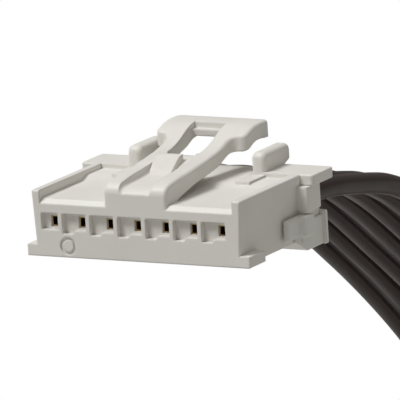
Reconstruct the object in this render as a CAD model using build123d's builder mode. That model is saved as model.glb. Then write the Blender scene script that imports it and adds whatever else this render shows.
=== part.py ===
"""Wire-to-board cable assembly: seven wires between two identical 2.00 mm receptacle housings.

Frame: X runs along the contact row, the near mating face looks toward -Y, +Z is up.
The origin is the middle of the contact row on the near mating face. Millimetres.
"""

from build123d import *
import math
import os

os.makedirs("parts", exist_ok=True)

# --- contact row
ways = 7
pitch = 2.0
row_height = 2.25  # contact row above the underside
row_half = (ways - 1) * pitch / 2
row_x = [way * pitch - row_half for way in range(ways)]

# --- wires and the terminal barrels closed round them
wire_diameter = 1.4
wire_clear = 0.01
barrel_wall = 0.09
barrel_length = 1.4
wire_radius = wire_diameter / 2
barrel_radius = wire_radius + wire_clear + barrel_wall

# --- contact cavities and their mouths
cavity_clear = 0.03
cavity_width = 2 * (barrel_radius + cavity_clear)
cavity_height = cavity_width + 0.14
front_wall = 0.9
mouth_width = 0.62
mouth_height = 0.72
recess_depth = 0.35
recess_top = row_height + 0.55
recess_bottom = row_height - 0.5
recess_right = 0.36  # contact centre to the rib on its right
recess_left = 0.84
pocket_side = 0.42  # contact centre to the slope of the hump below it
pocket_slope = 0.22
pocket_bottom = row_height - 0.74
rib_gap = 0.3  # width of the rib between a mouth and the next pocket
pocket_round = 0.1
mark_radius = 0.56
mark_inner = 0.4
mark_depth = 0.08
mark_x = row_x[0] + pitch / 2
mark_height = 0.74

# --- housing, heights measured from the underside, depths from the mating face
under = -row_height
end_wall = 1.25  # outermost contact centre to the outside, at the underside
side_draft = 0.225  # how much each side leans out over the whole height
body_height = 4.25
housing_depth = 10.7
body_depth = housing_depth - 3.1  # mating face to the collar
low_half = row_half + end_wall
top_half = low_half + side_draft
rib_width = 0.575
rib_round = 0.12
roof_height = 3.7  # top floor between the two ribs
deck_height = 3.95  # the same floor behind its step
step_start = 5.3
step_length = 0.9
front_bevel = 0.3
tab_reach = 0.75
tab_height = 0.75
tab_depth = 2.1
tab_round = 0.1
collar_reach = 0.95
collar_bottom = 1.95
collar_depth = 1.8
collar_round = 0.12
flange_reach = 1.15
flange_start = housing_depth - 2.6
flange_depth = 2.8
flange_thick = 0.7
flange_corner = 0.25
flange_round = 0.1

# --- guard posts on both sides of the latch pad
post_inner = 3.97
post_width = 1.01
post_rise = 1.25
post_depth = 3.6
post_nose = 0.7  # rounding of the top front corner, seen from the side
post_tail = 0.45
post_round = 0.36
ridge_rise = 0.14  # low ridge on the deck in front of each post
post_lift = 0.35  # the overhanging end thins upward by this much

# --- latch arm, moulded with the housing
latch_half = 2.25
window_half = 1.15
arm_nose = 0.7
channel_round = 0.28
rail_root = 1.15
pad_start = housing_depth - 1.8
pad_half = 3.3
pad_depth = 3.3
pad_corner = 0.45
pad_flare = 0.55
pad_round = 0.24
web_end = pad_start - 2.4
window_end = pad_start + 1.0
window_corner = 0.18
ledge_depth = 0.45
ledge_height = 6.42
bar_bottom = 5.98
tooth_start = web_end - 2.7
tooth_crest = web_end - 0.95
tooth_top = 5.78
tooth_right = 0.55

# --- retainer under the rear of the housing
retainer_gap = 0.02
retainer_start = housing_depth - 3.5
retainer_top = row_height - cavity_height / 2 - 0.2
retainer_drop = 0.78
retainer_slope = 1.5
retainer_end = housing_depth + 0.3
retainer_side = low_half + 0.25
lip_thick = 0.28
lip_top = row_height - wire_radius - 0.17
lip_side = low_half + 0.47
lip_round = 0.08
ear_start = housing_depth - 5.2
ear_step = housing_depth - 3.7
ear_end = housing_depth - 2.45
ear_inner_reach = 0.6
ear_reach = 1.05
ear_top = 1.78
ear_foot = 0.45
ear_round = 0.1

# --- crimp terminal
contact_gap = 0.08
contact_start = front_wall + contact_gap
contact_length = 4.1
contact_width = 1.02
contact_height = 1.14
contact_wall = 0.14
neck_length = 1.0
neck_width = 0.66
sheet = 0.12
crimp_length = 2.0
crimp_width = 0.96
crimp_height = 0.78
barrel_gap = 0.42
wire_start = contact_start + contact_length + neck_length + crimp_length

body_top = under + body_height
roof = under + roof_height
deck = under + deck_height


# --------------------------------------------------------- channel of the latch
# Space between the rails: its floor rises toward the web and rounds into the rails.
with BuildPart() as channel:
    floor_line = [
        (0.0, 4.2),
        (0.3, 4.5),
        (0.9, 4.64),
        (2.4, 4.72),
        (tooth_start, 4.86),
        (tooth_start + 0.6, 5.0),
        (tooth_start + 1.4, 5.26),
        (web_end, 5.5),
    ]
    with BuildSketch(Plane.YZ):
        with BuildLine():
            rise = Spline(*[(y, under + z) for y, z in floor_line])
            Polyline(
                rise @ 1,
                (web_end, under + tooth_top + 1),
                (-0.2, under + tooth_top + 1),
                (-0.2, under + floor_line[0][1]),
                rise @ 0,
            )
        make_face()
    extrude(amount=window_half, both=True)
    foot = [
        edge
        for edge in channel.edges()
        if abs(abs(edge.center().X) - window_half) < 1e-4
        and edge.bounding_box().size.Y > web_end - 1
        and edge.center().Z < under + tooth_top
    ]
    fillet(foot, radius=channel_round)
print("channel", channel.part.is_valid, len(foot))

# ----------------------------------------------------------------------- latch
# Two rails rise out of the front edge and carry a finger pad; a web joins them in front.
with BuildPart() as latch:
    rail_top = [
        (arm_nose, 4.95),
        (1.7, 5.1),
        (3.0, 5.2),
        (4.3, 5.34),
        (pad_start - 3.2, 5.5),
        (pad_start - 2.2, 5.64),
        (pad_start - 1.4, 5.8),
        (pad_start - 0.7, 6.02),
        (pad_start, 6.34),
        (pad_start + 0.7, 6.63),
        (pad_start + 1.5, 6.8),
        (pad_start + 2.3, 6.84),
        (pad_start + pad_depth, 6.78),
    ]
    rail_low = [
        (pad_start + pad_depth, 5.76),
        (pad_start + 2.3, 5.76),
        (pad_start + 1.4, 5.8),
        (pad_start + 0.8, 5.64),
        (pad_start + 0.2, 5.4),
        (pad_start - 0.6, 5.2),
        (pad_start - 1.6, 4.84),
        (pad_start - 2.7, 4.6),
        (pad_start - 4.4, 4.4),
        (2.7, 4.06),
        (rail_root, roof_height - 0.05),
    ]
    with BuildSketch(Plane.YZ):
        with BuildLine():
            nose = Line((0, roof - 0.4), (0, under + rail_top[0][1] - arm_nose))
            crown = Spline(*[(y, under + z) for y, z in rail_top], tangents=[(1, 0.2), (1, -0.1)])
            RadiusArc(nose @ 1, crown @ 0, arm_nose * 1.03)
            belly = Spline(*[(y, under + z) for y, z in rail_low])
            Line(crown @ 1, belly @ 0)
            Polyline(belly @ 1, (rail_root, roof - 0.4), nose @ 0)
        make_face()
    extrude(amount=pad_half, both=True)
    # seen from above, the rails flare into the pad and all its corners are round
    with BuildSketch(Plane.XY.offset(under)) as plan:
        with Locations((0, (pad_start + 1) / 2)):
            Rectangle(2 * latch_half, pad_start + 1)
        with Locations((0, pad_start + pad_depth / 2)):
            Rectangle(2 * pad_half, pad_depth)
        inner_corners = [
            v for v in plan.vertices() if abs(v.Y - pad_start) < 1e-4 and abs(v.X) < pad_half - 0.1
        ]
        fillet(inner_corners, radius=pad_flare)
        outer_corners = [v for v in plan.vertices() if abs(v.X) > pad_half - 1e-4]
        fillet(outer_corners, radius=pad_corner)
    extrude(amount=2 * body_height, mode=Mode.INTERSECT)
    # round over the upper outline, from one rail root along the pad to the other
    rim = [
        edge
        for edge in latch.edges()
        if edge.center().Z > under + 4.6
        and edge.center().Y > 0.05
        and len(
            [f for f in latch.faces() if f.normal_at(f.center()).Z > 0.5 and edge in f.edges()]
        )
        > 0
    ]
    print("rim", len(rim))
    fillet(rim, radius=pad_round)
    # the channel between the rails
    add(channel.part, mode=Mode.SUBTRACT)
    # the window in front of the pad
    with BuildSketch(Plane.XY.offset(deck)):
        with Locations((0, (web_end + window_end) / 2)):
            RectangleRounded(2 * window_half, window_end - web_end, window_corner)
    extrude(amount=body_height, mode=Mode.SUBTRACT)
    # ledge along the rear of the window
    with BuildSketch(Plane.XY.offset(under + ledge_height)):
        with Locations((0, window_end - window_corner + (ledge_depth + window_corner) / 2)):
            Rectangle(2 * window_half, ledge_depth + window_corner)
    extrude(amount=body_height, mode=Mode.SUBTRACT)
    # the bar behind the window is thinner than the pad's two ends
    with BuildSketch(Plane.XY.offset(deck)):
        with Locations((0, (window_end + pad_start + pad_depth) / 2 - 0.5)):
            Rectangle(2 * window_half, pad_start + pad_depth - window_end)
    extrude(amount=under + bar_bottom - deck, mode=Mode.SUBTRACT)
    # locking tooth on the web
    with BuildSketch(Plane.YZ.offset(-window_half)):
        with BuildLine():
            Polyline(
                (tooth_start, under + floor_line[4][1] - 0.2),
                (tooth_start, under + floor_line[4][1]),
                (tooth_crest - 0.5, under + tooth_top - 0.1),
                (tooth_crest, under + tooth_top),
                (tooth_crest, under + 5.1),
                close=True,
            )
        make_face()
    extrude(amount=window_half + tooth_right)

print("latch", latch.part.is_valid, len(latch.part.solids()), round(latch.part.volume, 3))

# ----------------------------------------------------------------- guard post
with BuildPart() as post:
    # bullet shape seen from the side, its rear end overhanging the flange
    post_bottom = body_top - flange_thick
    post_end = flange_start + post_depth
    with BuildSketch(Plane.YZ.offset(post_inner)) as post_side:
        with BuildLine():
            Polyline(
                (flange_start, post_bottom),
                (flange_start, body_top + post_rise),
                (post_end, body_top + post_rise),
                (post_end, body_top + post_lift),
                (housing_depth, body_top),
                (housing_depth, post_bottom),
                close=True,
            )
        make_face()
        fillet(post_side.vertices().group_by(Axis.Y)[-1], radius=post_tail)
        fillet(post_side.vertices().group_by(Axis.Z)[-1].sort_by(Axis.Y)[0], radius=post_nose)
    extrude(amount=post_width)
    shoulders = [
        edge
        for edge in post.edges()
        if not edge.center().X - 1e-4 > post_inner + 1e-4
        or abs(edge.center().X - post_inner - post_width) < 1e-4
    ]
    shoulders = [
        edge
        for edge in shoulders
        if edge.center().Z > body_top + 0.2 and edge.center().Y > flange_start - 1e-4
    ]
    fillet(shoulders, radius=post_round)
print("post", post.part.is_valid, round(post.part.volume, 3))

# -------------------------------------------------------- collar, flange, tabs
collar_top = body_top - flange_thick
with BuildPart() as collar:
    with BuildSketch(Plane.XY.offset(under + collar_bottom)):
        with Locations((0, body_depth + collar_depth / 2)):
            Rectangle(2 * (low_half + collar_reach), collar_depth)
    extrude(amount=collar_top - under - collar_bottom)
    fillet(collar.edges().filter_by(Axis.Z), radius=collar_round)
    fillet(collar.edges().group_by(Axis.Z)[0], radius=collar_round * 0.8)

with BuildPart() as flange:
    with BuildSketch(Plane.XY.offset(collar_top)):
        with Locations((0, flange_start + flange_depth / 2)):
            RectangleRounded(2 * (low_half + flange_reach), flange_depth, flange_corner)
    extrude(amount=flange_thick)
    fillet(flange.edges().group_by(Axis.Z)[-1], radius=flange_round)
    fillet(flange.edges().group_by(Axis.Z)[0], radius=flange_round)

# keying tabs at the foot of the mating end
with BuildPart() as tabs:
    with BuildSketch(Plane.XZ):
        with Locations((0, under + tab_height / 2)):
            Rectangle(2 * (low_half + tab_reach), tab_height)
    extrude(amount=-tab_depth)
    fillet(tabs.edges().group_by(Axis.X)[0] + tabs.edges().group_by(Axis.X)[-1], radius=tab_round)

# ---------------------------------------------------------------- near housing
with BuildPart() as near_housing:
    # leaning side walls, drawn on the mating face and run to the rear
    with BuildSketch(Plane.XZ):
        with BuildLine():
            Polyline(
                (-low_half, under),
                (low_half, under),
                (top_half, body_top),
                (-top_half, body_top),
                close=True,
            )
        make_face()
    extrude(amount=-housing_depth)
    # the top floor lies between two ribs, steps up once and ends at the flange,
    # except between the guard posts, where it runs on to the rear
    for floor_half, floor_end in (
        (top_half - rib_width, flange_start),
        (post_inner, housing_depth + 1),
    ):
        with BuildSketch(Plane.YZ):
            with BuildLine():
                Polyline(
                    (-1, roof),
                    (step_start, roof),
                    (step_start + step_length, deck),
                    (floor_end, deck),
                    (floor_end, body_top + 1),
                    (-1, body_top + 1),
                    close=True,
                )
            make_face()
        extrude(amount=floor_half, both=True, mode=Mode.SUBTRACT)
    # bevel along the top front edge, between the ribs
    with BuildSketch(Plane.YZ):
        with BuildLine():
            Polyline(
                (-0.1, roof - front_bevel - 0.1),
                (front_bevel + 0.1, roof + 0.1),
                (-0.1, roof + 0.1),
                close=True,
            )
        make_face()
    extrude(amount=top_half - rib_width, both=True, mode=Mode.SUBTRACT)
    # rounded ribs and front corners
    rib_edges = [
        edge
        for edge in near_housing.edges()
        if abs(edge.center().X) > top_half - rib_width + 0.1
        and (
            (edge.center().Z > body_top - 1e-4 and edge.center().Y < step_start + 1)
            or (abs(edge.center().Y) < 1e-4 and edge.bounding_box().size.Z > body_height / 2)
        )
    ]
    print("rib edges", len(rib_edges))
    fillet(rib_edges, radius=rib_round)
    add(collar.part)
    add(flange.part)
    add(tabs.part)
    # the flange is open between the guard posts
    with BuildSketch(Plane.XY.offset(deck)):
        with Locations((0, flange_start + flange_depth / 2)):
            Rectangle(2 * post_inner, flange_depth + 2)
    extrude(amount=body_height, mode=Mode.SUBTRACT)
    # guard posts, each with a low ridge in front of it
    add(post.part)
    mirror(post.part, about=Plane.YZ)
    with BuildSketch(Plane.XY.offset(deck - 0.1)):
        with Locations(
            (-post_inner - post_width / 2, (step_start + step_length + flange_start) / 2),
            (post_inner + post_width / 2, (step_start + step_length + flange_start) / 2),
        ):
            Rectangle(post_width, flange_start - step_start - step_length + 0.4)
    extrude(amount=ridge_rise + 0.1)
    # room for the retainer under the rear
    with BuildSketch(Plane.YZ):
        with BuildLine():
            Polyline(
                (retainer_start, under - 1),
                (housing_depth + 1, under - 1),
                (housing_depth + 1, under + retainer_top),
                (retainer_start, under + retainer_top),
                close=True,
            )
        make_face()
    extrude(amount=low_half + flange_reach + 1, both=True, mode=Mode.SUBTRACT)
    # contact cavities, open to the rear
    with BuildSketch(Plane.XZ.offset(-housing_depth - 1)):
        with Locations([(x, 0) for x in row_x]):
            Rectangle(cavity_width, cavity_height)
    extrude(amount=housing_depth + 1 - front_wall, mode=Mode.SUBTRACT)
    # Each mouth lies in a shallow recess that runs left as far as the rib beside the next
    # mouth. It is deeper between the contacts, with a sloping hump below each mouth.
    for way in range(ways):
        x = row_x[way]
        with BuildSketch(Plane.XZ) as recess:
            with BuildLine():
                if way == 0:
                    Polyline(
                        (x + recess_right, under + recess_top),
                        (x + recess_right, under + recess_bottom),
                        (x - recess_left, under + recess_bottom),
                        (x - recess_left, under + recess_top),
                        close=True,
                    )
                else:
                    left = x - pitch + recess_right + rib_gap
                    Polyline(
                        (x + recess_right, under + recess_top),
                        (x + recess_right, under + recess_bottom),
                        (x - pocket_side, under + recess_bottom),
                        (x - pocket_side - pocket_slope, under + pocket_bottom),
                        (left, under + pocket_bottom),
                        (left, under + recess_top),
                        close=True,
                    )
            make_face()
            fillet(recess.vertices().group_by(Axis.X)[0], radius=pocket_round)
        extrude(amount=-recess_depth, mode=Mode.SUBTRACT)
    with BuildSketch(Plane.XZ):
        with Locations([(x, 0) for x in row_x]):
            Rectangle(mouth_width, mouth_height)
    extrude(amount=-front_wall - 0.1, mode=Mode.SUBTRACT)
    # ring that marks the first circuit
    with BuildSketch(Plane.XZ):
        with Locations((mark_x, under + mark_height)):
            Circle(mark_radius)
            Circle(mark_inner, mode=Mode.SUBTRACT)
    extrude(amount=-mark_depth, mode=Mode.SUBTRACT)
    add(latch.part)

near_housing.part.label = "near_housing"
export_step(near_housing.part, "parts/near_housing.step")

# --------------------------------------------------------------- near retainer
with BuildPart() as lip:
    with BuildSketch(Plane.XZ.offset(-retainer_end)):
        with Locations((0, under + (lip_top - retainer_drop) / 2)):
            Rectangle(2 * lip_side, lip_top + retainer_drop)
    extrude(amount=lip_thick)
    fillet(lip.edges().filter_by(Axis.Y), radius=lip_round)

with BuildPart() as ear:
    with BuildSketch(Plane.XY.offset(under + ear_foot)):
        with BuildLine():
            wall = top_half + retainer_gap
            Polyline(
                (wall, ear_start),
                (low_half + ear_inner_reach, ear_start),
                (low_half + ear_inner_reach, ear_step),
                (low_half + ear_reach, ear_step + 0.15),
                (low_half + ear_reach, ear_end),
                (wall, ear_end),
                close=True,
            )
        make_face()
    extrude(amount=ear_top - ear_foot)
    outer_edges = [edge for edge in ear.edges() if edge.center().X > wall + 0.05]
    fillet(outer_edges, radius=ear_round)
    # below, the ear runs in to the tray
    foot_in = retainer_side - 0.2
    foot_out = low_half + ear_inner_reach
    with BuildSketch(Plane.XY.offset(under)):
        with Locations(((foot_in + foot_out) / 2, (retainer_start + retainer_gap + ear_end) / 2)):
            Rectangle(foot_out - foot_in, ear_end - retainer_start - retainer_gap)
    extrude(amount=ear_foot + 0.2)

with BuildPart() as near_retainer:
    # tray under the cavities, its foot sloping down to the rear lip
    tray_top = under + retainer_top - retainer_gap
    with BuildSketch(Plane.YZ):
        with BuildLine():
            Polyline(
                (retainer_start + retainer_gap, tray_top),
                (retainer_start + retainer_gap, under),
                (retainer_start + retainer_slope, under - retainer_drop),
                (retainer_end, under - retainer_drop),
                (retainer_end, tray_top),
                close=True,
            )
        make_face()
    extrude(amount=retainer_side, both=True)
    # the tray's lower outline is eased
    fillet(near_retainer.edges().group_by(Axis.Z)[0].filter_by(Axis.Y), radius=ear_round)
    # rear lip below the wires
    add(lip.part)
    # an ear in two steps against each side wall, run in to the tray below
    for side in (-1, 1):
        add(ear.part if side == 1 else ear.part.mirror(Plane.YZ))

near_retainer.part.label = "near_retainer"
export_step(near_retainer.part, "parts/near_retainer.step")

# ------------------------------------------------------------- crimp terminals
with BuildPart() as terminal:
    # box contact, folded round the header pin
    with BuildSketch(Plane.XZ.offset(-contact_start)):
        Rectangle(contact_width, contact_height)
        Rectangle(
            contact_width - 2 * contact_wall,
            contact_height - 2 * contact_wall,
            mode=Mode.SUBTRACT,
        )
    extrude(amount=-contact_length)
    # rear wall and the two springs inside
    box_end = contact_start + contact_length
    with BuildSketch(Plane.XZ.offset(-box_end)):
        Rectangle(contact_width, contact_height)
    extrude(amount=contact_wall)
    with BuildSketch(Plane.YZ):
        for side in (-1, 1):
            with BuildLine():
                Polyline(
                    (contact_start + 0.3, side * (contact_height / 2 - contact_wall / 2)),
                    (contact_start + 1.2, side * 0.24),
                    (contact_start + 1.5, side * 0.24),
                    (contact_start + 2.6, side * (contact_height / 2 - contact_wall / 2)),
                    close=True,
                )
            make_face()
    extrude(amount=contact_width / 5, both=True)
    # neck, on the floor of the terminal
    floor = -barrel_radius
    crimp_start = box_end + neck_length
    with BuildSketch(Plane.XY.offset(-contact_height / 2)):
        with Locations((0, box_end + neck_length / 2)):
            Rectangle(neck_width, neck_length + 0.4)
    extrude(amount=2.5 * sheet)
    # conductor crimp, flattened on the strands
    with BuildSketch(Plane.XZ.offset(-crimp_start)):
        with Locations((0, crimp_height / 2 - contact_height / 2)):
            RectangleRounded(crimp_width, crimp_height, 0.2)
    extrude(amount=-crimp_length)
    # strip under the insulation, and the barrel closed round it
    barrel_start = wire_start + barrel_gap
    with BuildSketch(Plane.XY.offset(floor)):
        with Locations((0, (wire_start + barrel_start) / 2 - 0.1)):
            Rectangle(0.5, barrel_start - wire_start + 0.4)
    extrude(amount=barrel_wall)
    with BuildSketch(Plane.XZ.offset(-wire_start)):
        with Locations((0, (floor - contact_height / 2 + 0.3) / 2)):
            Rectangle(0.5, 0.3 - contact_height / 2 - floor)
    extrude(amount=0.3)
    with BuildSketch(Plane.XZ.offset(-barrel_start)):
        Circle(barrel_radius)
        Circle(wire_radius + wire_clear, mode=Mode.SUBTRACT)
    extrude(amount=-barrel_length)

print("terminal", terminal.part.is_valid, len(terminal.part.solids()), terminal.part.volume)

for way in range(ways):
    with BuildPart() as near_terminal:
        with Locations((row_x[way], 0, 0)):
            add(terminal.part)
    near_terminal.part.label = f"near_terminal_{way + 1}"
    export_step(near_terminal.part, f"parts/near_terminal_{way + 1}.step")

# ----------------------------------------------------------------------- wires
# The flat row of wires leaves level, then droops under its own weight: depth and height.
route = [
    (wire_start, 0.0),
    (wire_start + 5.3, 0.0),
    (18.6, -0.88),
    (23.6, -1.95),
    (28.6, -4.6),
    (34.6, -8.72),
    (41.0, -13.2),
    (47.4, -18.4),
    (53.2, -24.1),
    (58.2, -30.85),
    (62.4, -39.25),
    (65.6, -49.55),
    (67.6, -59.85),
    (68.45, -67.95),
]
# Each wire wanders a little sideways on the way, and not at its two ends.
sway = [0.05, 0.16, -0.1, 0.08, -0.14, 0.1, -0.06]
sway_share = [0, 0, 0.1, 0.4, 0.8, 1, 0.7, 1, 1, 0.6, 0.5, 0.2, 0, 0]
for way in range(ways):
    points = [
        Vector(row_x[way] + sway[way] * share, y, z)
        for (y, z), share in zip(route, sway_share)
    ]
    steps = [b - a for a, b in zip(points, points[1:])]
    radii = [
        0.45 * min(a.length, b.length) / math.tan(math.radians(a.get_angle(b)) / 2)
        for a, b in zip(steps, steps[1:])
    ]
    with BuildPart() as wire:
        with BuildLine() as middle:
            FilletPolyline(*points, radius=radii)
        with BuildSketch(Plane(middle.line @ 0, z_dir=middle.line % 0)):
            Circle(wire_radius)
        sweep()
    wire.part.label = f"wire_{way + 1}"
    length = middle.wires()[0].length
    share = wire.part.volume / (math.pi * wire_radius**2 * length)
    print(wire.part.label, "smallest radius", round(min(radii), 1), "length", round(length, 2))
    print("  volume over section times length", round(share, 4), wire.part.is_valid)
    export_step(wire.part, f"parts/wire_{way + 1}.step")

# ------------------------------------------------------------------ far end
# The far housing is the same one turned over, so that each wire joins equal circuits.
lean = math.degrees(math.atan2(route[-2][1] - route[-1][1], route[-2][0] - route[-1][0]))
turn = math.radians(lean)
far_end = Location(
    (
        0,
        route[-1][0] - wire_start * math.cos(turn),
        route[-1][1] - wire_start * math.sin(turn),
    ),
    (lean, 0, 0),
)
with BuildPart() as far_housing:
    with Locations(far_end):
        add(near_housing.part)
far_housing.part.label = "far_housing"
export_step(far_housing.part, "parts/far_housing.step")

with BuildPart() as far_retainer:
    with Locations(far_end):
        add(near_retainer.part)
far_retainer.part.label = "far_retainer"
export_step(far_retainer.part, "parts/far_retainer.step")

for way in range(ways):
    with BuildPart() as far_terminal:
        with Locations(far_end * Location((row_x[way], 0, 0))):
            add(terminal.part)
    far_terminal.part.label = f"far_terminal_{way + 1}"
    export_step(far_terminal.part, f"parts/far_terminal_{way + 1}.step")
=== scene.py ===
import math
import bpy
from mathutils import Matrix, Vector


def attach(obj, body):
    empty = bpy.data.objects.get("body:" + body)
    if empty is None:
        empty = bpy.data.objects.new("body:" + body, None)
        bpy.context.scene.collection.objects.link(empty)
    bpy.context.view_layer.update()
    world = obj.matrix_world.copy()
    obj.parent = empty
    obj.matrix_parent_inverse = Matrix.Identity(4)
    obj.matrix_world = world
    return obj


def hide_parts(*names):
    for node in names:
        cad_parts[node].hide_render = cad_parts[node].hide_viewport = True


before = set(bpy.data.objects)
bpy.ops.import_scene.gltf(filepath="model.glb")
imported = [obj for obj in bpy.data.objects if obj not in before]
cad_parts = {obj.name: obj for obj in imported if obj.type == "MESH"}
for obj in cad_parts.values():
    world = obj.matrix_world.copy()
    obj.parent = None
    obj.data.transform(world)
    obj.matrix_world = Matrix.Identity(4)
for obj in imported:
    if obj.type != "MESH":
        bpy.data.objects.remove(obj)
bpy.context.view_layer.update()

# ---------------------------------------------------------------------------
# Camera: a long lens looking down a little on the mating face, from its right
# and with the row of contacts running slightly downhill.
swing, lift, roll = math.radians(29.24), math.radians(12.14), math.radians(3.39)
level_right = Vector((math.cos(swing), math.sin(swing), 0))
level_up = Vector((-math.sin(swing) * math.sin(lift), math.cos(swing) * math.sin(lift), math.cos(lift)))
forward = Vector((-math.sin(swing) * math.cos(lift), math.cos(swing) * math.cos(lift), -math.sin(lift)))
right = level_right * math.cos(roll) - level_up * math.sin(roll)
up = level_right * math.sin(roll) + level_up * math.cos(roll)
studio_lens = bpy.data.cameras.new("studio_camera")
studio_lens.sensor_width = 36
studio_lens.lens = 720
studio_lens.clip_start, studio_lens.clip_end = 0.05, 20
camera = bpy.data.objects.new("studio_camera", studio_lens)
bpy.context.collection.objects.link(camera)
aim = Vector((0, 0.005, 0.00075)) + right * 0.0016656 - up * 0.0001011
spot = aim - forward * 0.5055
camera.matrix_world = Matrix((
    (right.x, up.x, -forward.x, spot.x),
    (right.y, up.y, -forward.y, spot.y),
    (right.z, up.z, -forward.z, spot.z),
    (0, 0, 0, 1),
))
bpy.context.scene.camera = camera

# ---------------------------------------------------------------------------
# Crimp terminals: one stamped and folded strip of tinned brass for each end of
# each wire. A box contact takes the header pin, a folded crimp grips the bare
# strands and a barrel grips the insulation. Sizes in metres along +Y.
pitch, ways = 0.002, 7
contact_start, contact_end = 0.00098, 0.00508
contact_half, contact_rise, contact_wall = 0.00051, 0.00057, 0.00006
nose_start, nose_half, nose_rise = 0.00044, 0.00029, 0.00034
crimp_start, crimp_end = 0.00608, 0.00808
barrel_start, barrel_end, barrel_radius = 0.0085, 0.0099, 0.0008


def start_mesh(name):
    """Renames the primitive that was just added and opens it for editing."""
    piece = bpy.context.object
    piece.name = name
    piece.data.name = name
    bpy.ops.object.transform_apply(location=True, rotation=True, scale=True)
    bpy.ops.object.mode_set(mode="EDIT")
    bpy.ops.mesh.select_all(action="DESELECT")
    return piece


def pick(piece, test, kind="faces"):
    """Selects, in edit mode, the faces, edges or vertices whose middle passes the test."""
    bpy.ops.object.mode_set(mode="OBJECT")
    mesh = piece.data
    spots = [v.co for v in mesh.vertices]
    for group in (mesh.vertices, mesh.edges, mesh.polygons):
        group.foreach_set("select", [False] * len(group))
    if kind == "faces":
        for face in mesh.polygons:
            face.select = bool(test(face.center, face.normal))
    elif kind == "edges":
        for edge in mesh.edges:
            a, b = (spots[v] for v in edge.vertices)
            edge.select = bool(test((a + b) / 2, (b - a).normalized()))
    else:
        for vertex in mesh.vertices:
            vertex.select = bool(test(vertex.co, None))
    bpy.context.tool_settings.mesh_select_mode = (kind == "vertices", kind == "edges", kind == "faces")
    bpy.ops.object.mode_set(mode="EDIT")


def block(name, low, high):
    """A box between two corners, left open in edit mode."""
    middle = [(a + b) / 2 for a, b in zip(low, high)]
    size = [b - a for a, b in zip(low, high)]
    bpy.ops.object.select_all(action="DESELECT")
    bpy.ops.mesh.primitive_cube_add(size=1, location=middle)
    bpy.context.object.scale = size
    return start_mesh(name)


def finish_mesh(piece, angle=40):
    """Turns all faces outward, leaves edit mode and smooths the soft edges."""
    bpy.ops.mesh.select_all(action="SELECT")
    bpy.ops.mesh.normals_make_consistent(inside=False)
    bpy.ops.object.mode_set(mode="OBJECT")
    bpy.ops.object.shade_smooth_by_angle(angle=math.radians(angle))
    return piece


def wall(piece, thickness, offset=-1):
    """Gives an open folded sheet its thickness and applies it."""
    bpy.ops.object.mode_set(mode="OBJECT")
    sheet = piece.modifiers.new("sheet", "SOLIDIFY")
    sheet.thickness = thickness
    sheet.offset = offset
    sheet.use_even_offset = True
    bpy.ops.object.modifier_apply(modifier="sheet")
    bpy.ops.object.mode_set(mode="EDIT")


# box contact: four walls with rounded folds, drawn in to a nose that leads the pin in
box = block("terminal_box", (-contact_half, contact_start, -contact_rise),
            (contact_half, contact_end, contact_rise))
pick(box, lambda c, n: abs(n.y) > 0.9)
bpy.ops.mesh.delete(type="ONLY_FACE")
pick(box, lambda c, d: abs(d.y) > 0.9, "edges")
bpy.ops.mesh.bevel(offset=0.00016, segments=3, affect="EDGES")
pick(box, lambda c, d: abs(c.y - contact_start) < 1e-6 and abs(d.y) < 0.1, "edges")
bpy.ops.mesh.extrude_edges_move(TRANSFORM_OT_translate={"value": (0, 0, 0)})
bpy.ops.transform.resize(value=(nose_half / contact_half, 1, nose_rise / contact_rise),
                         center_override=(0, contact_start, 0))
bpy.ops.mesh.extrude_edges_move(TRANSFORM_OT_translate={"value": (0, nose_start - contact_start, 0)})
bpy.ops.mesh.select_all(action="SELECT")
bpy.ops.mesh.normals_make_consistent(inside=False)
wall(box, contact_wall)
finish_mesh(box)

# spring beams inside the box, bowed toward the pin
beams = []
for side in (-1, 1):
    bpy.ops.object.select_all(action="DESELECT")
    bpy.ops.mesh.primitive_grid_add(
        x_subdivisions=2, y_subdivisions=12, size=1, location=(0, contact_start + 0.0016, side * 0.00034))
    bpy.context.object.scale = (0.0005, 0.0026, 1)
    beam = start_mesh("terminal_beam")
    middle_y = contact_start + 0.00145
    for bow in range(13):
        spot_y = contact_start + 0.0003 + bow * 0.0026 / 12
        sag = 0.00018 * math.exp(-((spot_y - middle_y) / 0.0006) ** 2)
        pick(beam, lambda c, n, y=spot_y: abs(c.y - y) < 0.00009, "vertices")
        bpy.ops.transform.translate(value=(0, 0, -side * sag))
    wall(beam, 0.0001, offset=0)
    beams.append(finish_mesh(beam))

# rear wall of the box and the channel that leads to the crimp
neck_half = 0.00033
stop = block("terminal_stop", (-contact_half, contact_end - 0.00014, -contact_rise),
             (contact_half, contact_end, contact_rise))
pick(stop, lambda c, d: True, "edges")
bpy.ops.mesh.bevel(offset=0.00004, segments=2, affect="EDGES")
finish_mesh(stop)
neck = block("terminal_neck", (-neck_half, contact_end - 0.0001, -contact_rise),
             (neck_half, crimp_start + 0.0001, -0.00025))
pick(neck, lambda c, n: n.z > 0.9 or abs(n.y) > 0.9)
bpy.ops.mesh.delete(type="ONLY_FACE")
pick(neck, lambda c, d: abs(d.y) > 0.9 and c.z < -0.0004, "edges")
bpy.ops.mesh.bevel(offset=0.00012, segments=3, affect="EDGES")
wall(neck, 0.00012)
finish_mesh(neck)

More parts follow.
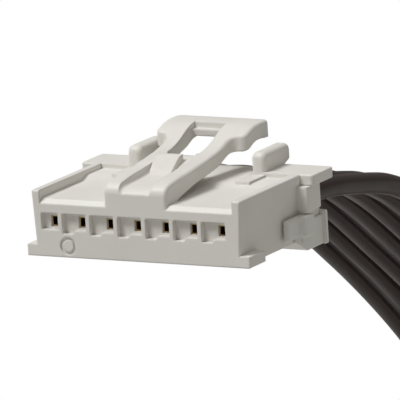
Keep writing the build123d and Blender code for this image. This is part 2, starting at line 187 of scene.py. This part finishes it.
# conductor crimp: two rolled lobes with the seam pressed down between them
crimp_middle = (crimp_start + crimp_end) / 2
crimp_floor, crimp_centre = -contact_rise, 0.00039
bpy.ops.object.select_all(action="DESELECT")
bpy.ops.mesh.primitive_cylinder_add(
    vertices=32, radius=0.00048, depth=crimp_end - crimp_start, end_fill_type="NGON",
    location=(0, crimp_middle, crimp_floor + crimp_centre), rotation=(math.pi / 2, 0, 0))
bpy.context.object.scale = (1, 0.8125, 1)
crimp = start_mesh("terminal_crimp")
pick(crimp, lambda c, n: abs(c.x) < 0.00008 and c.z > crimp_floor + 0.0005, "vertices")
bpy.ops.transform.translate(value=(0, 0, -0.0002))
pick(crimp, lambda c, n: 0.00008 < abs(c.x) < 0.0002 and c.z > crimp_floor + 0.0005, "vertices")
bpy.ops.transform.translate(value=(0, 0, -0.00005))
pick(crimp, lambda c, n: abs(n.y) > 0.9)
bpy.ops.mesh.inset(thickness=0.00007)
bpy.ops.mesh.extrude_region_move(TRANSFORM_OT_translate={"value": (0, 0, 0)})
bpy.ops.transform.resize(value=(0.9, 0.965, 0.9),
                         center_override=(0, crimp_middle, crimp_floor + crimp_centre))
pick(crimp, lambda c, d: abs(d.y) < 0.1 and min(abs(c.y - crimp_start), abs(c.y - crimp_end)) < 1e-6, "edges")
bpy.ops.mesh.bevel(offset=0.00003, segments=2, affect="EDGES")
finish_mesh(crimp)

# strip under the wire and the barrel round the insulation, its two wings meeting on top
strip_half = 0.00025
strip = block("terminal_strip", (-strip_half, crimp_end - 0.00008, -barrel_radius),
              (strip_half, barrel_start + 0.0002, -barrel_radius + 0.00009))
pick(strip, lambda c, n: n.z > 0.9)
bpy.ops.mesh.inset(thickness=0.00006)
bpy.ops.transform.translate(value=(0, 0, 0.00001))
pick(strip, lambda c, d: abs(d.y) > 0.9 and c.z < -barrel_radius + 0.00002, "edges")
bpy.ops.mesh.bevel(offset=0.00003, segments=2, affect="EDGES")
finish_mesh(strip)
riser = block("terminal_riser", (-strip_half, crimp_end - 0.00014, -barrel_radius),
              (strip_half, crimp_end, -contact_rise + 0.00003))
pick(riser, lambda c, d: abs(d.x) > 0.9 and c.z < -barrel_radius + 0.00002, "edges")
bpy.ops.mesh.bevel(offset=0.00003, segments=2, affect="EDGES")
finish_mesh(riser)
bpy.ops.object.select_all(action="DESELECT")
bpy.ops.mesh.primitive_cylinder_add(
    vertices=48, radius=barrel_radius - 0.000002, depth=barrel_end - barrel_start, end_fill_type="NOTHING",
    location=(0, (barrel_start + barrel_end) / 2, 0), rotation=(math.pi / 2, 0, 0))
barrel = start_mesh("terminal_barrel")
pick(barrel, lambda c, n: c.z > 0.00078 and abs(c.x) < 0.00006)
bpy.ops.mesh.delete(type="FACE")
pick(barrel, lambda c, n: c.z > 0.0005 and c.y > barrel_end - 1e-5, "vertices")
bpy.ops.transform.translate(value=(0, -0.00012, 0))
wall(barrel, 0.000085)
finish_mesh(barrel)

bpy.ops.object.select_all(action="DESELECT")
for piece in [box, *beams, stop, neck, crimp, riser, strip, barrel]:
    piece.select_set(True)
bpy.context.view_layer.objects.active = box
bpy.ops.object.join()
terminal = bpy.context.object
terminal.name = "terminal_pattern"


def add_node(tree, kind, **settings):
    """Adds a node; settings that name an input set its value, the others set the node itself."""
    node = tree.nodes.new(kind)
    for key, value in settings.items():
        if hasattr(node, key):
            setattr(node, key, value)
        else:
            node.inputs[key.replace("_", " ")].default_value = value
    return node


def new_material(name, roughness, metallic=0.0, specular=0.5):
    """A material and its Principled shader with the uniform values set on it."""
    material = bpy.data.materials.new(name)
    material.use_nodes = True
    shader = material.node_tree.nodes["Principled BSDF"]
    shader.inputs["Roughness"].default_value = roughness
    shader.inputs["Metallic"].default_value = metallic
    shader.inputs["Specular IOR Level"].default_value = specular
    return material, shader


def surface_group(name, sockets_in, sockets_out):
    """An empty shader node group with the named sockets."""
    group = bpy.data.node_groups.new(name, "ShaderNodeTree")
    for label, kind, value in sockets_in:
        socket = group.interface.new_socket(label, in_out="INPUT", socket_type=kind)
        socket.default_value = value
    for label, kind in sockets_out:
        group.interface.new_socket(label, in_out="OUTPUT", socket_type=kind)
    return group, group.nodes.new("NodeGroupInput"), group.nodes.new("NodeGroupOutput")


# Mottle: a slow drift of colour and a fine grain, shared by the metal, plastics and insulation.
mottle, given, out = surface_group("mottle", [
    ("Color", "NodeSocketColor", (0.8, 0.8, 0.8, 1)),
    ("Drift Color", "NodeSocketColor", (0.7, 0.7, 0.7, 1)),
    ("Drift Scale", "NodeSocketFloat", 300.0),
    ("Grain Scale", "NodeSocketFloat", 9000.0),
    ("Stretch", "NodeSocketVector", (1.0, 1.0, 1.0)),
    ("Roughness Low", "NodeSocketFloat", 0.35),
    ("Roughness High", "NodeSocketFloat", 0.5),
], [("Color", "NodeSocketColor"), ("Roughness", "NodeSocketFloat"), ("Height", "NodeSocketFloat")])
place = add_node(mottle, "ShaderNodeTexCoord")
stretch = add_node(mottle, "ShaderNodeVectorMath", operation="MULTIPLY")
drift = add_node(mottle, "ShaderNodeTexNoise", Detail=3.0, Roughness=0.55)
grain = add_node(mottle, "ShaderNodeTexNoise", Detail=4.0, Roughness=0.6)
ramp = add_node(mottle, "ShaderNodeMapRange", From_Min=0.3, From_Max=0.72)
blend = add_node(mottle, "ShaderNodeMix", data_type="RGBA")
speck = add_node(mottle, "ShaderNodeMapRange", From_Min=0.25, From_Max=0.75, To_Min=0.965, To_Max=1.03)
tone = add_node(mottle, "ShaderNodeMix", data_type="RGBA", blend_type="MULTIPLY")
tone.inputs["Factor"].default_value = 1.0
gloss = add_node(mottle, "ShaderNodeMapRange", From_Min=0.3, From_Max=0.7)
wire_up = mottle.links.new
wire_up(place.outputs["Object"], stretch.inputs[0])
wire_up(given.outputs["Stretch"], stretch.inputs[1])
wire_up(stretch.outputs[0], drift.inputs["Vector"])
wire_up(stretch.outputs[0], grain.inputs["Vector"])
wire_up(given.outputs["Drift Scale"], drift.inputs["Scale"])
wire_up(given.outputs["Grain Scale"], grain.inputs["Scale"])
wire_up(drift.outputs["Fac"], ramp.inputs["Value"])
wire_up(ramp.outputs["Result"], blend.inputs["Factor"])
wire_up(given.outputs["Color"], blend.inputs["A"])
wire_up(given.outputs["Drift Color"], blend.inputs["B"])
wire_up(grain.outputs["Fac"], speck.inputs["Value"])
wire_up(blend.outputs["Result"], tone.inputs["A"])
wire_up(speck.outputs["Result"], tone.inputs["B"])
wire_up(grain.outputs["Fac"], gloss.inputs["Value"])
wire_up(given.outputs["Roughness Low"], gloss.inputs["To Min"])
wire_up(given.outputs["Roughness High"], gloss.inputs["To Max"])
wire_up(tone.outputs["Result"], out.inputs["Color"])
wire_up(gloss.outputs["Result"], out.inputs["Roughness"])
wire_up(grain.outputs["Fac"], out.inputs["Height"])


def mottled(material, shader, bump, soft_edge=0, **values):
    """Feeds a shader's colour, roughness and bump from the mottle group."""
    tree = material.node_tree
    surface = tree.nodes.new("ShaderNodeGroup")
    surface.node_tree = mottle
    for label, value in values.items():
        surface.inputs[label.replace("_", " ")].default_value = value
    relief = add_node(tree, "ShaderNodeBump", Strength=bump, Distance=0.00001)
    tree.links.new(surface.outputs["Color"], shader.inputs["Base Color"])
    tree.links.new(surface.outputs["Roughness"], shader.inputs["Roughness"])
    tree.links.new(surface.outputs["Height"], relief.inputs["Height"])
    if soft_edge:
        rounding = tree.nodes.new("ShaderNodeBevel")
        rounding.samples = 8
        rounding.inputs["Radius"].default_value = soft_edge
        tree.links.new(rounding.outputs["Normal"], relief.inputs["Normal"])
    tree.links.new(relief.outputs["Normal"], shader.inputs["Normal"])


tinned_brass, shader = new_material("tinned_brass", 0.35, metallic=1.0)
mottled(tinned_brass, shader, 0.35, Color=(0.66, 0.5, 0.27, 1), Drift_Color=(0.5, 0.36, 0.18, 1),
        Drift_Scale=900.0, Grain_Scale=7000.0, Stretch=(1.0, 0.12, 1.0),
        Roughness_Low=0.24, Roughness_High=0.42)

# The far end hangs below, turned to the last run of the wires. Route points are (Y, Z) in millimetres.
wire_route = [
    (8.08, 0.0), (13.38, 0.0), (18.6, -0.88), (23.6, -1.95), (28.6, -4.6), (34.6, -8.72), (41.0, -13.2),
    (47.4, -18.4), (53.2, -24.1), (58.2, -30.85), (62.4, -39.25), (65.6, -49.55), (67.6, -59.85),
    (68.45, -67.95),
]
last_y, last_z = wire_route[-1]
lean = math.atan2(wire_route[-2][1] - last_z, wire_route[-2][0] - last_y)
seat = wire_route[0][0]
far_end = Matrix.Translation((
    0, (last_y - seat * math.cos(lean)) / 1000, (last_z - seat * math.sin(lean)) / 1000,
)) @ Matrix.Rotation(lean, 4, "X")
terminal.data.materials.clear()
terminal.data.materials.append(tinned_brass)
far_terminals = []
for end, turn in (("near", Matrix.Identity(4)), ("far", far_end)):
    for way in range(ways):
        piece = terminal.copy()
        piece.data = terminal.data.copy()
        piece.data.transform(turn @ Matrix.Translation(((way - 3) * pitch, 0, 0)))
        piece.name = piece.data.name = f"{end}_crimp_terminal_{way + 1}"
        bpy.context.collection.objects.link(piece)
        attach(piece, "root")
        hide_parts(f"{end}_terminal_{way + 1}")
        if end == "far":
            far_terminals.append(piece)
bpy.data.objects.remove(terminal)

# ---------------------------------------------------------------------------
# Housings: one off-white nylon moulding at each end of the cable, with the
# latch arm and its finger pad moulded on.
natural_nylon, shader = new_material("natural_nylon", 0.42, specular=0.4)
edge_softness = 0.00016
mottled(natural_nylon, shader, 0.25, soft_edge=edge_softness,
        Color=(0.79, 0.775, 0.735, 1), Drift_Color=(0.755, 0.735, 0.685, 1),
        Drift_Scale=260.0, Grain_Scale=11000.0, Roughness_Low=0.36, Roughness_High=0.52)


def even_shading(mesh):
    """Shades flat faces flat and lets fillets run into them; edges over 40 degrees stay crisp."""
    faces = [(face.normal.copy(), list(face.vertices)) for face in mesh.polygons]
    share = list(range(len(faces)))

    def patch(index):
        while share[index] != index:
            share[index] = share[share[index]]
            index = share[index]
        return index

    beside = {}
    for face in mesh.polygons:
        for key in face.edge_keys:
            beside.setdefault(key, []).append(face.index)
    for pair in beside.values():
        if len(pair) == 2 and faces[pair[0]][0].dot(faces[pair[1]][0]) > 0.9999:
            share[patch(pair[0])] = patch(pair[1])
    area = {}
    for face in mesh.polygons:
        area[patch(face.index)] = area.get(patch(face.index), 0) + face.area * 1e6
    weight = [area[patch(index)] for index in range(len(faces))]
    around = [[] for _ in mesh.vertices]
    for index, (normal, corners) in enumerate(faces):
        for corner in corners:
            around[corner].append(index)
    crisp = math.cos(math.radians(40))
    normals = []
    for normal, corners in faces:
        for corner in corners:
            total = Vector((0, 0, 0))
            for other in around[corner]:
                if faces[other][0].dot(normal) > crisp:
                    total += faces[other][0] * weight[other]
            normals.append(total.normalized() if total.length > 1e-12 else normal)
    mesh.polygons.foreach_set("use_smooth", [True] * len(faces))
    mesh.normals_split_custom_set(normals)


def moulded_copy(node_name, piece_name, material):
    """A merged copy of a CAD node, evenly shaded, standing for the node."""
    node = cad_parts[node_name]
    piece = node.copy()
    piece.data = node.data.copy()
    piece.parent = None
    piece.name = piece.data.name = piece_name
    bpy.context.collection.objects.link(piece)
    bpy.ops.object.select_all(action="DESELECT")
    piece.select_set(True)
    bpy.context.view_layer.objects.active = piece
    bpy.ops.object.mode_set(mode="EDIT")
    bpy.ops.mesh.select_all(action="SELECT")
    bpy.ops.mesh.remove_doubles(threshold=1e-6)
    bpy.ops.object.mode_set(mode="OBJECT")
    even_shading(piece.data)
    piece.data.materials.clear()
    piece.data.materials.append(material)
    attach(piece, "root")
    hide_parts(node_name)
    return piece


moulded_copy("near_housing", "near_receptacle", natural_nylon)
far_moulding = moulded_copy("far_housing", "far_receptacle", natural_nylon)

# ---------------------------------------------------------------------------
# Retainers: a second nylon moulding snapped under the rear of each housing to
# lock the terminals in, slightly duller than the housing.
retainer_nylon, shader = new_material("retainer_nylon", 0.46, specular=0.4)
mottled(retainer_nylon, shader, 0.25, soft_edge=edge_softness,
        Color=(0.775, 0.765, 0.73, 1), Drift_Color=(0.745, 0.73, 0.685, 1),
        Drift_Scale=310.0, Grain_Scale=10000.0, Roughness_Low=0.4, Roughness_High=0.55)
moulded_copy("near_retainer", "near_terminal_lock", retainer_nylon)
far_tray = moulded_copy("far_retainer", "far_terminal_lock", retainer_nylon)

# ---------------------------------------------------------------------------
# Wires: seven black insulated wires in a flat row, crimped into a terminal at
# each end. They leave the housing level and droop under their own weight.
wire_diameter = 0.0014
wire_sway = [0.05, 0.16, -0.1, 0.08, -0.14, 0.1, -0.06]
sway_share = [0, 0, 0.1, 0.4, 0.8, 1, 0.7, 1, 1, 0.6, 0.5, 0.2, 0, 0]
insulation, shader = new_material("black_insulation", 0.38, specular=0.22)
mottled(insulation, shader, 0.3, Color=(0.03, 0.0185, 0.0165, 1), Drift_Color=(0.05, 0.035, 0.0315, 1),
        Drift_Scale=500.0, Grain_Scale=4200.0, Stretch=(1.0, 0.06, 0.06),
        Roughness_Low=0.24, Roughness_High=0.42)
for way in range(ways):
    curve = bpy.data.curves.new(f"insulated_wire_{way + 1}", "CURVE")
    curve.dimensions = "3D"
    curve.bevel_depth = wire_diameter / 2
    curve.bevel_resolution = 6
    curve.use_fill_caps = True
    spline = curve.splines.new("NURBS")
    spline.points.add(len(wire_route) - 1)
    for point, (y, z), share in zip(spline.points, wire_route, sway_share):
        point.co = ((way - 3) * pitch + wire_sway[way] * share / 1000, y / 1000, z / 1000, 1)
    spline.order_u = 3
    spline.use_endpoint_u = True
    spline.resolution_u = 16
    curve.materials.append(insulation)
    wire = bpy.data.objects.new(f"insulated_wire_{way + 1}", curve)
    bpy.context.collection.objects.link(wire)
    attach(wire, "root")
    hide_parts(f"wire_{way + 1}")
    plug = [far_terminals[way]]
    if way == ways // 2:
        plug += [far_moulding, far_tray]

# ---------------------------------------------------------------------------
# Studio: a white sweep far below the hanging cable, one soft key light from
# the upper left and a weak wide light from above.
bpy.ops.object.select_all(action="DESELECT")
bpy.ops.mesh.primitive_plane_add(size=8, location=(0, 0, -0.09))
floor = bpy.context.object
floor.name = "studio_floor"
pale, sheet = new_material("studio_white", 0.9, specular=0.2)
sheet.inputs["Base Color"].default_value = (0.5, 0.495, 0.48, 1)
seen = pale.node_tree.nodes.new("ShaderNodeLightPath")
white = add_node(pale.node_tree, "ShaderNodeEmission", Strength=1.0)
either = pale.node_tree.nodes.new("ShaderNodeMixShader")
pale.node_tree.links.new(seen.outputs["Is Camera Ray"], either.inputs["Fac"])
pale.node_tree.links.new(sheet.outputs["BSDF"], either.inputs[1])
pale.node_tree.links.new(white.outputs["Emission"], either.inputs[2])
pale.node_tree.links.new(either.outputs["Shader"], pale.node_tree.nodes["Material Output"].inputs["Surface"])
floor.data.materials.append(pale)
world = bpy.data.worlds.new("studio_world")
bpy.context.scene.world = world
bpy.context.scene.view_settings.view_transform = "Standard"
world.use_nodes = True
backdrop = world.node_tree.nodes["Background"]
backdrop.inputs["Color"].default_value = (1, 0.965, 0.92, 1)
backdrop.inputs["Strength"].default_value = 0.2
for name, toward, power, softness in (
    ("key_light", (-0.34, -0.36, 0.8), 2.3, 24),
    ("top_light", (0.1, 0.3, 0.95), 0.5, 70),
):
    lamp = bpy.data.lights.new(name, "SUN")
    lamp.angle = math.radians(softness)
    lamp.energy = power
    light = bpy.data.objects.new(name, lamp)
    bpy.context.collection.objects.link(light)
    light.rotation_mode = "QUATERNION"
    light.rotation_quaternion = Vector(toward).to_track_quat("Z", "Y")
